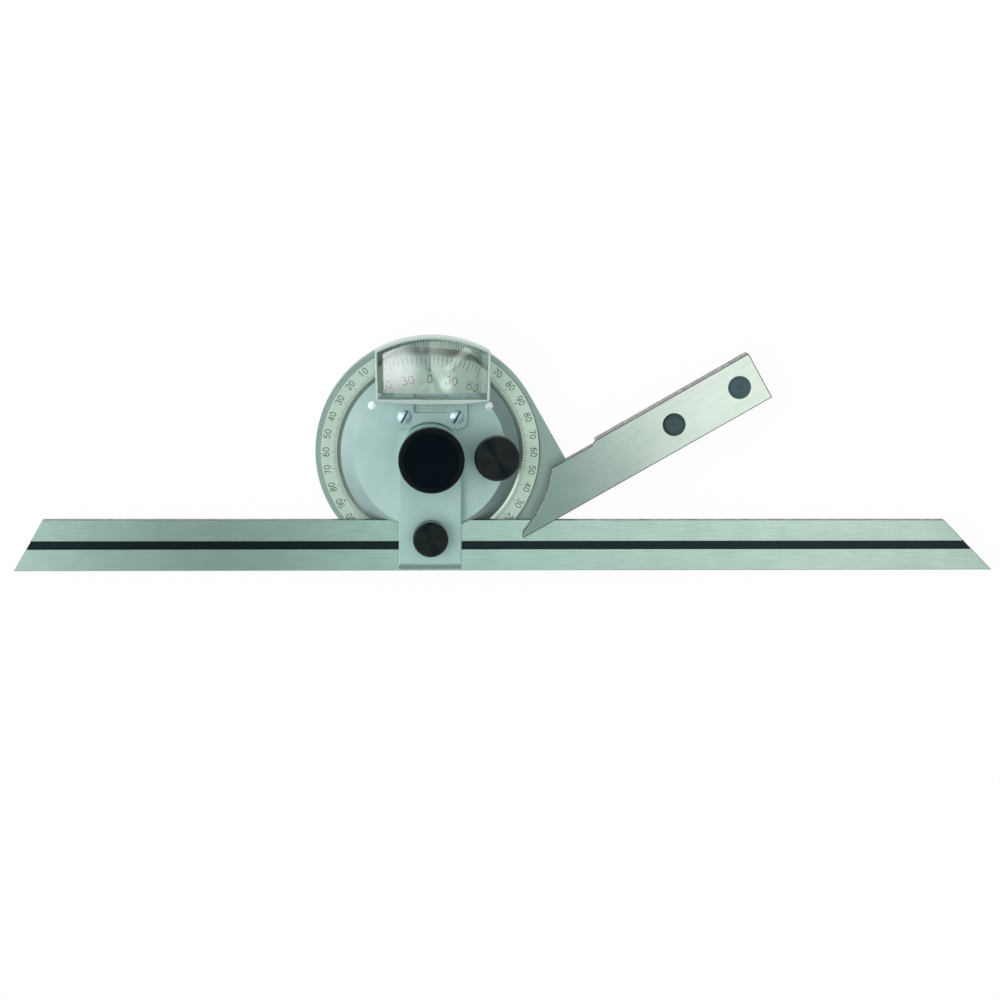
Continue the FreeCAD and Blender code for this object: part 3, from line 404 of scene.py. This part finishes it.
stockTurn = math.radians(30)
bladeLow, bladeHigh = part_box("blade")
bladeMiddle = (bladeLow.y + bladeHigh.y) / 2
bladeGroove = {
    "low": bladeMiddle - 1.23 * mm, "high": bladeMiddle + 1.23 * mm,
    "floor": bladeHigh.z - 0.9 * mm, "mouth": bladeHigh.z - 0.02 * mm,
    # partly the oxidised groove's own colour, partly painted shade
    "colour": linear(38, 49, 52),
}
# the screws' slots are painted shade: a dark stripe of this colour across each head
bracketHeads = {"side": 7.9 * mm, "up": 11.2 * mm, "turn": 62, "slot": 0.6 * mm, "colour": linear(52, 78, 86)}
materials = {
    "bladeSteel": groundMaterial("bladeSteel", linear(176, 199, 188), linear(196, 217, 206), 0.0,
                                 groove=bladeGroove),
    "stockSteel": groundMaterial("stockSteel", linear(194, 205, 197), linear(212, 218, 210), stockTurn, 0.25),
    "bodySteel": groundMaterial("bodySteel", linear(160, 180, 173), linear(178, 197, 188), stockTurn, 0.38),
    # painted shade on the ring's sides and the chamfer of its bore
    "scaleChrome": satinMaterial("scaleChrome", linear(189, 208, 193), linear(207, 221, 206), 0.28,
                                 metallic=0.6, paintedSideShade=0.42),
    "vernierChrome": satinMaterial("vernierChrome", linear(208, 222, 212), linear(223, 234, 225), 0.5,
                                   metallic=0.0),
    # painted shade on the turret's sides and bevel
    "satinChrome": satinMaterial("satinChrome", linear(162, 188, 184), linear(176, 200, 196), 0.54,
                                 paintedSideShade=0.74, edge=edgeRound["radius"]),
    # painted shade on the faces of arm and bracket that lean towards -Y, as on the arm's end chamfer
    "armChrome": satinMaterial("armChrome", linear(158, 186, 182), linear(171, 197, 193), 0.50,
                               paintedSideShade=0.5, towards=(0, -1, 0), edge=edgeRound["radius"]),
    "frameChrome": satinMaterial("frameChrome", linear(172, 189, 183), linear(186, 201, 195), 0.30,
                                 metallic=0.5, edge=2 * edgeRound["radius"]),
    "screwBright": satinMaterial("screwBright", linear(176, 204, 206), linear(192, 218, 219), 0.42,
                                 metallic=0.6, head=bracketHeads),
    "smallBright": satinMaterial("smallBright", linear(226, 236, 238), linear(240, 247, 248), 0.45, metallic=0.3),
    "pinSteel": satinMaterial("pinSteel", linear(150, 158, 160), linear(170, 176, 178), 0.3),
    "bushBrass": satinMaterial("bushBrass", linear(178, 146, 82), linear(200, 170, 104), 0.3),
    "washerSteel": turnedMaterial("washerSteel", linear(150, 156, 158), linear(172, 178, 180), 0.3, Vector()),
    "clampBlack": knobMaterial("clampBlack", linear(2, 7, 9), linear(5, 12, 15), "clamp_knob",
                               ridges=96, sheen=0.10),
    "feedBlack": knobMaterial("feedBlack", linear(2, 9, 10), linear(5, 15, 16), "feed_knob",
                              ridges=72, sheen=0.24),
    "lockBlack": knobMaterial("lockBlack", linear(2, 10, 11), linear(5, 16, 17), "blade_lock_knob",
                              ridges=56, sheen=0.24),
    "capBlack": satinMaterial("capBlack", linear(3, 9, 14), linear(6, 13, 18), 0.16, metallic=0.0, sheen=0.06),
    "plugBlue": satinMaterial("plugBlue", linear(38, 60, 65), linear(53, 78, 83), 0.45, metallic=0.0),
    "lensClear": glassMaterial("lensClear", linear(226, 238, 232)),
    "inkBlack": inkMaterial("inkBlack", linear(26, 30, 30)),
}
finishOf = {
    "bladeSteel": ["blade"],
    "stockSteel": ["stock_bar"],
    "bodySteel": ["body_frame"],
    "scaleChrome": ["main_scale_ring"],
    "vernierChrome": ["vernier_plate"],
    "satinChrome": ["turret_disc"],
    "armChrome": ["arm", "magnifier_bracket"],
    "frameChrome": ["magnifier_frame"],
    "screwBright": ["bracket_screws"],
    "smallBright": ["turret_face_screws", "scale_ring_screws", "stud_flange_screws"],
    "pinSteel": ["centre_stud", "eccentric_stud", "feed_pinion", "stock_dowels", "internal_gear", "stock_screws",
                 "arm_screws", "feed_knob_screw", "lock_knob_screw"],
    "bushBrass": ["turret_bush", "feed_bush"],
    "washerSteel": ["clamp_washer", "wave_washer", "lock_washer", "feed_washer"],
    "clampBlack": ["clamp_knob"],
    "feedBlack": ["feed_knob"],
    "lockBlack": ["blade_lock_knob"],
    "capBlack": ["clamp_knob_cap"],
    "plugBlue": ["stock_plugs"],
    "lensClear": ["magnifier_lens"],
}


def dressNodes():
    for finish, names in finishOf.items():
        for name in names:
            mesh = cadNodes[name].data
            mesh.materials.clear()
            mesh.materials.append(materials[finish])


# Magnifier lens: a fan-shaped plate domed on both faces, inside the solid's box

lens = {
    "domeRadius": 28.6, "flattening": 9.4e-4, "domeCentre": 22.9,  # in mm; flatter towards the rim than a ball
    "footNarrower": 0.3 * mm,  # each side, against the head
    "inset": 0.03 * mm, "columns": 96, "rows": 48,
    "sharpFrom": 40,  # degrees between two faces
}


def makeLens():
    low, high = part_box("magnifier_lens")
    foot = low.y + lens["inset"]
    reach = high.y - lens["inset"]
    centre = (low.x + high.x) / 2
    highHalf = (high.x - low.x) / 2 - lens["inset"]
    lowHalf = highHalf - lens["footNarrower"]
    centreHeight = (low.z + high.z) / 2
    thickness = high.z - low.z - 2 * lens["inset"]
    columns = lens["columns"]
    rows = lens["rows"]
    plan = []
    for row in range(rows + 1):
        share = row / rows
        for column in range(columns + 1):
            side = 2 * column / columns - 1
            topX = side * highHalf
            topY = math.sqrt(reach ** 2 - topX ** 2)
            x = centre + (1 - share) * side * lowHalf + share * topX
            plan.append((x, (1 - share) * foot + share * topY))
    corners = []
    for direction in (1, -1):
        for x, y in plan:
            spread = ((x - centre) / mm) ** 2 + (y / mm - lens["domeCentre"]) ** 2
            fall = spread / (2 * lens["domeRadius"]) * (1 - lens["flattening"] * spread) * mm
            corners.append((x, y, centreHeight + direction * (thickness / 2 - fall)))
    faces = []
    count = len(plan)
    for row in range(rows):
        for column in range(columns):
            a = row * (columns + 1) + column
            b, c, d = a + 1, a + columns + 2, a + columns + 1
            faces.append((a, b, c, d))
            faces.append((count + d, count + c, count + b, count + a))
    rim = list(range(columns + 1))
    rim += [row * (columns + 1) + columns for row in range(1, rows + 1)]
    rim += [rows * (columns + 1) + column for column in range(columns - 1, -1, -1)]
    rim += [row * (columns + 1) for row in range(rows - 1, 0, -1)]
    domed = len(faces)
    for first, second in zip(rim, rim[1:] + rim[:1]):
        faces.append((first, first + count, second + count, second))
    piece = placeMesh("lensGlass", corners, faces, materials["lensClear"])
    piece.data.polygons.foreach_set("use_smooth", [index < domed for index in range(len(faces))])
    piece.data.set_sharp_from_angle(angle=math.radians(lens["sharpFrom"]))
    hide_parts("magnifier_lens")
    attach(piece, "turret")


# Graduations: ticks from a node tree, figures from single strokes

markLift = 0.012 * mm  # above the plated face
degreeScale = {
    "face": top("main_scale_ring"),
    "zeroAt": 120.0,  # degrees anticlockwise from +X to the zero left of the magnifier
    "bore": 28.32 * mm,  # just outside the bore's chamfer
    "short": 0.95 * mm, "fifth": 0.35 * mm, "tenth": 0.35 * mm, "tickWidth": 0.11 * mm,
    "figureRadius": 31.55 * mm, "figureHeight": 1.85 * mm, "stroke": 0.2 * mm, "figureStep": 10,
    "dotInset": 1.55 * mm, "dot": 0.24 * mm,  # beside each 90
}
vernierScale = {
    "face": top("vernier_plate"),
    "rim": halfWidth("turret_disc") - 0.05 * mm,
    "divisions": 24, "step": 23.0 / 12,  # twelve parts of five minutes each side, over 23 degrees
    "short": 1.5 * mm, "third": 0.5 * mm, "sixth": 0.6 * mm, "tickWidth": 0.1 * mm,
    "figureRadius": 22.6 * mm, "figureHeight": 1.65 * mm, "stroke": 0.15 * mm,
    "zeroLength": 2.75 * mm, "zeroDot": 0.2 * mm, "zeroLift": 1.5 * markLift,
}


# Ticks round the Z axis: every one short, with more added at each minor and again at each major count
def tickTree():
    tree = bpy.data.node_groups.new("tickTree", "GeometryNodeTree")
    face = tree.interface
    face.new_socket("Geometry", in_out="INPUT", socket_type="NodeSocketGeometry")
    for name in ("Count", "Minor", "Major"):
        face.new_socket(name, in_out="INPUT", socket_type="NodeSocketInt")
    for name in ("Start", "Step", "Edge", "Short", "Longer", "Longest", "Width", "Outwards", "Height"):
        face.new_socket(name, in_out="INPUT", socket_type="NodeSocketFloat")
    face.new_socket("Material", in_out="INPUT", socket_type="NodeSocketMaterial")
    face.new_socket("Geometry", in_out="OUTPUT", socket_type="NodeSocketGeometry")
    given = tree.nodes.new("NodeGroupInput").outputs
    index = tree.nodes.new("GeometryNodeInputIndex").outputs[0]
    length = given["Short"]
    for every, more in (("Minor", "Longer"), ("Major", "Longest")):
        due = calculate(tree, "LESS_THAN", calculate(tree, "MODULO", index, given[every]), 0.5)
        length = calculate(tree, "ADD", length, calculate(tree, "MULTIPLY", due, given[more]))
    half = calculate(tree, "MULTIPLY", calculate(tree, "MULTIPLY", length, 0.5), given["Outwards"])
    radius = calculate(tree, "ADD", given["Edge"], half)
    angle = calculate(tree, "ADD", given["Start"], calculate(tree, "MULTIPLY", index, given["Step"]))
    place = addNode(tree, "ShaderNodeCombineXYZ", {
        "X": calculate(tree, "MULTIPLY", radius, calculate(tree, "COSINE", angle)),
        "Y": calculate(tree, "MULTIPLY", radius, calculate(tree, "SINE", angle)),
        "Z": given["Height"],
    })
    points = addNode(tree, "GeometryNodePoints", {"Count": given["Count"]})
    put = addNode(tree, "GeometryNodeSetPosition", {"Geometry": points.outputs[0], "Position": place.outputs[0]})
    tick = addNode(tree, "GeometryNodeMeshGrid", {"Vertices X": 2, "Vertices Y": 2, "Size X": 1, "Size Y": 1})
    turn = addNode(tree, "ShaderNodeCombineXYZ", {"Z": angle})
    size = addNode(tree, "ShaderNodeCombineXYZ", {"X": length, "Y": given["Width"], "Z": 1})
    copies = addNode(tree, "GeometryNodeInstanceOnPoints", {
        "Points": put.outputs[0], "Instance": tick.outputs["Mesh"],
        "Rotation": turn.outputs[0], "Scale": size.outputs[0],
    })
    real = addNode(tree, "GeometryNodeRealizeInstances", {0: copies.outputs[0]})
    finish = addNode(tree, "GeometryNodeSetMaterial", {"Geometry": real.outputs[0], "Material": given["Material"]})
    tree.links.new(finish.outputs[0], tree.nodes.new("NodeGroupOutput").inputs[0])
    return tree


# Evaluates the tree once and keeps its result as a plain mesh
def runTree(tree, name, values):
    holder = placeObject(name, bpy.data.meshes.new(name + "Start"))
    modifier = holder.modifiers.new("build", "NODES")
    modifier.node_group = tree
    identifiers = {item.name: item.identifier for item in tree.interface.items_tree if item.in_out == "INPUT"}
    for key, value in values.items():
        modifier[identifiers[key]] = value
    bpy.context.view_layer.update()
    evaluated = holder.evaluated_get(bpy.context.evaluated_depsgraph_get())
    mesh = bpy.data.meshes.new_from_object(evaluated)
    holder.modifiers.clear()
    holder.data = mesh
    return holder


# Points of an elliptical arc, angles in degrees
def arc(x, y, width, height, start, end, steps):
    points = []
    for step in range(steps + 1):
        angle = math.radians(start + (end - start) * step / steps)
        points.append((x + width * math.cos(angle), y + height * math.sin(angle)))
    return points


# Figures as an engraver's strokes, each in a cell 0.6 wide and 1 high
figure = {"width": 0.6, "gap": 0.22, "overlap": 0.6, "shortest": 1e-9}
sixStrokes = [arc(0.3, 0.31, 0.29, 0.31, 0, 360, 16), [(0.01, 0.31)] + arc(0.42, 0.42, 0.41, 0.58, 180, 85, 7)]
digitStrokes = {
    "0": [arc(0.3, 0.5, 0.28, 0.5, 0, 360, 18)],
    "1": [[(0.14, 0.8), (0.32, 1.0), (0.32, 0.0)]],
    "2": [arc(0.3, 0.72, 0.27, 0.28, 170, -20, 10) + [(0.04, 0.0), (0.58, 0.0)]],
    "3": [arc(0.29, 0.76, 0.24, 0.24, 150, -80, 9), arc(0.29, 0.27, 0.29, 0.27, 85, -150, 11)],
    "4": [[(0.44, 0.0), (0.44, 1.0), (0.02, 0.3), (0.6, 0.3)]],
    "5": [[(0.54, 1.0), (0.12, 1.0), (0.07, 0.54)] + arc(0.29, 0.31, 0.29, 0.31, 118, -150, 12)],
    "6": sixStrokes,
    "7": [[(0.02, 1.0), (0.58, 1.0), (0.22, 0.0)]],
    "8": [arc(0.3, 0.76, 0.22, 0.24, 0, 360, 14), arc(0.3, 0.26, 0.28, 0.26, 0, 360, 16)],
    "9": [[(figure["width"] - x, 1.0 - y) for x, y in line] for line in sixStrokes],
}


# Flat strokes of a number that stands on a circle, with its top outwards
def figureQuads(text, scale, angle):
    height = scale["figureHeight"]
    cell = (figure["width"] + figure["gap"]) * height
    width = cell * len(text) - figure["gap"] * height
    turn = angle - math.pi / 2
    corners = []
    faces = []
    for place, digit in enumerate(text):
        for line in digitStrokes[digit]:
            shifted = [(place * cell + x * height - width / 2, (y - 0.5) * height) for x, y in line]
            for first, second in zip(shifted, shifted[1:]):
                along = Vector((second[0] - first[0], second[1] - first[1]))
                if along.length < figure["shortest"]:
                    continue
                along = along.normalized() * scale["stroke"] / 2
                side = Vector((-along.y, along.x))
                start = Vector(first) - along * figure["overlap"]
                end = Vector(second) + along * figure["overlap"]
                base = len(corners)
                for corner in (start - side, end - side, end + side, start + side):
                    x = corner.x
                    y = corner.y + scale["figureRadius"]
                    corners.append((x * math.cos(turn) - y * math.sin(turn),
                                    x * math.sin(turn) + y * math.cos(turn), scale["face"] + markLift))
                faces.append((base, base + 1, base + 2, base + 3))
    return corners, faces


# A small round dot of twelve corners
def dotQuads(radius, angle, size, level):
    rim = arc(radius * math.cos(angle), radius * math.sin(angle), size, size, 0, 330, 11)
    return [(x, y, level) for x, y in rim], [tuple(range(len(rim)))]


def joinFlat(name, shapes):
    corners = []
    faces = []
    for shapeCorners, shapeFaces in shapes:
        base = len(corners)
        corners += shapeCorners
        faces += [tuple(base + index for index in face) for face in shapeFaces]
    return placeMesh(name, corners, faces, materials["inkBlack"])


def keep(piece, body):
    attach(piece, body)


def makeDegrees(tree):
    scale = degreeScale
    level = scale["face"] + markLift
    keep(runTree(tree, "degreeTicks", {
        "Count": 360, "Minor": 5, "Major": 10, "Start": math.radians(scale["zeroAt"]), "Step": math.radians(1),
        "Edge": scale["bore"], "Short": scale["short"], "Longer": scale["fifth"], "Longest": scale["tenth"],
        "Width": scale["tickWidth"], "Outwards": 1.0, "Height": level, "Material": materials["inkBlack"],
    }), "base")
    shapes = []
    for degree in range(0, 360, scale["figureStep"]):
        value = min(degree % 180, 180 - degree % 180)
        angle = math.radians(scale["zeroAt"] - degree)
        shapes.append(figureQuads(str(value), scale, angle))
        if value == 90:
            shapes.append(dotQuads(scale["figureRadius"] - scale["dotInset"], angle, scale["dot"], level))
    keep(joinFlat("degreeFigures", shapes), "base")


def makeVernier(tree):
    scale = vernierScale
    upright = math.pi / 2
    span = math.radians(scale["step"] * scale["divisions"] / 2)
    keep(runTree(tree, "vernierTicks", {
        "Count": scale["divisions"] + 1, "Minor": 3, "Major": 6, "Start": upright - span,
        "Step": math.radians(scale["step"]), "Edge": scale["rim"], "Short": scale["short"],
        "Longer": scale["third"], "Longest": scale["sixth"], "Width": scale["tickWidth"], "Outwards": -1.0,
        "Height": scale["face"] + markLift, "Material": materials["inkBlack"],
    }), "turret")
    high = scale["rim"]
    low = high - scale["zeroLength"]
    level = scale["face"] + scale["zeroLift"]
    half = scale["tickWidth"]
    zeroLine = [(-half, low, level), (half, low, level), (half, high, level), (-half, high, level)]
    shapes = [(zeroLine, [(0, 1, 2, 3)]), dotQuads(low, upright, scale["zeroDot"], level)]
    for place in range(-2, 3):
        shapes.append(figureQuads(str(30 * abs(place)), scale, upright + place * span / 2))
    keep(joinFlat("vernierFigures", shapes), "turret")


# Floor, world and lamps

studio = {
    "floorSize": 3.0, "floorHeight": -0.05 * mm, "floorTone": 0.86, "floorRoughness": 0.9,
    "floorWhite": 0.96,  # share of plain white that the camera sees; the rest takes the shadow
    "lowLight": (0.24, 0.40),  # sine of the height at which the tent goes over into plain white
    "window": (-0.58, 0.14, 0.80),  # towards the middle of the bright patch that the lens mirrors
}
tent = {
    "sideways": [  # from -X to +X
        (0.000, (1.34, 1.28, 1.36, 1)),
        (0.350, (1.48, 1.54, 1.54, 1)),
        (0.414, (1.50, 1.58, 1.56, 1)),
        (0.433, (0.82, 0.88, 0.88, 1)),
        (0.460, (0.42, 0.47, 0.49, 1)),
        (0.476, (0.90, 0.95, 0.96, 1)),
        (0.488, (1.80, 1.84, 1.84, 1)),
        (0.530, (1.76, 1.79, 1.76, 1)),
        (0.580, (1.25, 1.29, 1.25, 1)),
        (0.634, (0.93, 0.95, 0.90, 1)),
        (0.690, (0.60, 0.63, 0.62, 1)),
        (0.780, (0.20, 0.25, 0.25, 1)),
        (1.000, (0.08, 0.10, 0.10, 1)),
    ],
    "slanting": [  # along the stock
        (0.000, grey(1.00)),
        (0.275, grey(0.80)),
        (0.350, (0.36, 0.40, 0.40, 1)),
        (0.450, (0.15, 0.26, 0.26, 1)),
        (0.510, (0.07, 0.16, 0.16, 1)),
        (0.521, (0.50, 0.58, 0.57, 1)),
        (0.532, grey(1.16)),
        (0.600, grey(1.20)),
        (0.750, grey(0.95)),
        (1.000, grey(0.80)),
    ],
    "glow": [  # by nearness to the window's middle, added
        (0.86, grey(0.0)),
        (0.93, grey(1.0)),
        (0.97, grey(3.1)),
        (1.00, grey(4.2)),
    ],
}
lamps = {  # direction from the dial, width and length in metres, turn in degrees
    "rightPanel": {"towards": (0.43, 0.28, 0.86), "width": 0.10, "length": 0.50, "turn": -50, "power": 0.30},
}


def makeFloor():
    half = studio["floorSize"] / 2
    height = studio["floorHeight"]
    corners = [(-half, -half, height), (half, -half, height), (half, half, height), (-half, half, height)]
    material, tree, shader = startMaterial("floorPaper", grey(studio["floorTone"]), studio["floorRoughness"], 0.0)
    rays = tree.nodes.new("ShaderNodeLightPath").outputs
    bounced = calculate(tree, "MAXIMUM", rays["Is Glossy Ray"], rays["Is Transmission Ray"])
    seen = calculate(tree, "MAXIMUM", rays["Is Camera Ray"], bounced)
    share = calculate(tree, "MULTIPLY", seen, studio["floorWhite"])
    white = addNode(tree, "ShaderNodeEmission", {"Color": grey(1), "Strength": 1.0})
    mixSurface(tree, share, shader.outputs["BSDF"], white.outputs["Emission"])
    placeMesh("floor", corners, [(0, 1, 2, 3)], material)


# From minus one to one into nought to one, as a ramp takes it
def rampPlace(tree, value):
    return calculate(tree, "MULTIPLY", calculate(tree, "ADD", value, 1.0), 0.5)


# A soft tent with a dim stretch left of a slanting edge, dark low on the right and white round the foot
def makeWorld():
    world = bpy.data.worlds.new("softTent")
    bpy.context.scene.world = world
    world.use_nodes = True
    tree = world.node_tree
    way = tree.nodes.new("ShaderNodeTexCoord").outputs["Generated"]
    parts = separate(tree, way)
    along = (math.cos(stockTurn), math.sin(stockTurn), 0)
    sideways = ramp(tree, rampPlace(tree, parts["X"]), tent["sideways"])
    slanting = ramp(tree, rampPlace(tree, lean(tree, way, along)), tent["slanting"])
    colour = blendColour(tree, 1.0, sideways, slanting, "MULTIPLY")
    low, high = studio["lowLight"]
    above = addNode(tree, "ShaderNodeMapRange", {"Value": parts["Z"], "From Min": low, "From Max": high},
                    interpolation_type="SMOOTHSTEP")
    colour = blendColour(tree, above.outputs["Result"], grey(1), colour)
    glow = ramp(tree, lean(tree, way, Vector(studio["window"]).normalized()), tent["glow"])
    feed(tree, tree.nodes["Background"], {"Color": blendColour(tree, 1.0, colour, glow, "ADD")})


# A rectangular soft light on the dome round the dial, one metre away
def makeLamp(name, lamp):
    data = bpy.data.lights.new(name, "AREA")
    data.energy = lamp["power"]
    data.shape = "RECTANGLE"
    data.size = lamp["width"]
    data.size_y = lamp["length"]
    holder = placeObject(name, data)
    towards = Vector(lamp["towards"]).normalized()
    inwards = Matrix.Rotation(math.radians(lamp["turn"]), 3, towards)
    upwards = Vector((0, 1, 0)) - towards * towards.y
    sideways = upwards.cross(towards)
    axes = Matrix((sideways.normalized(), upwards.normalized(), towards)).transposed()
    holder.matrix_world = Matrix.Translation(towards) @ (inwards @ axes).to_4x4()


makeCamera(cameraView)
print("camera placed")
dressNodes()
print("finishes on the nodes")
makeLens()
print("lens shaped")
ticks = tickTree()
makeDegrees(ticks)
makeVernier(ticks)
print("graduations made")
makeFloor()
makeWorld()
for lampName, lamp in lamps.items():
    makeLamp(lampName, lamp)
bpy.context.scene.view_settings.view_transform = "Standard"
print("studio lit")
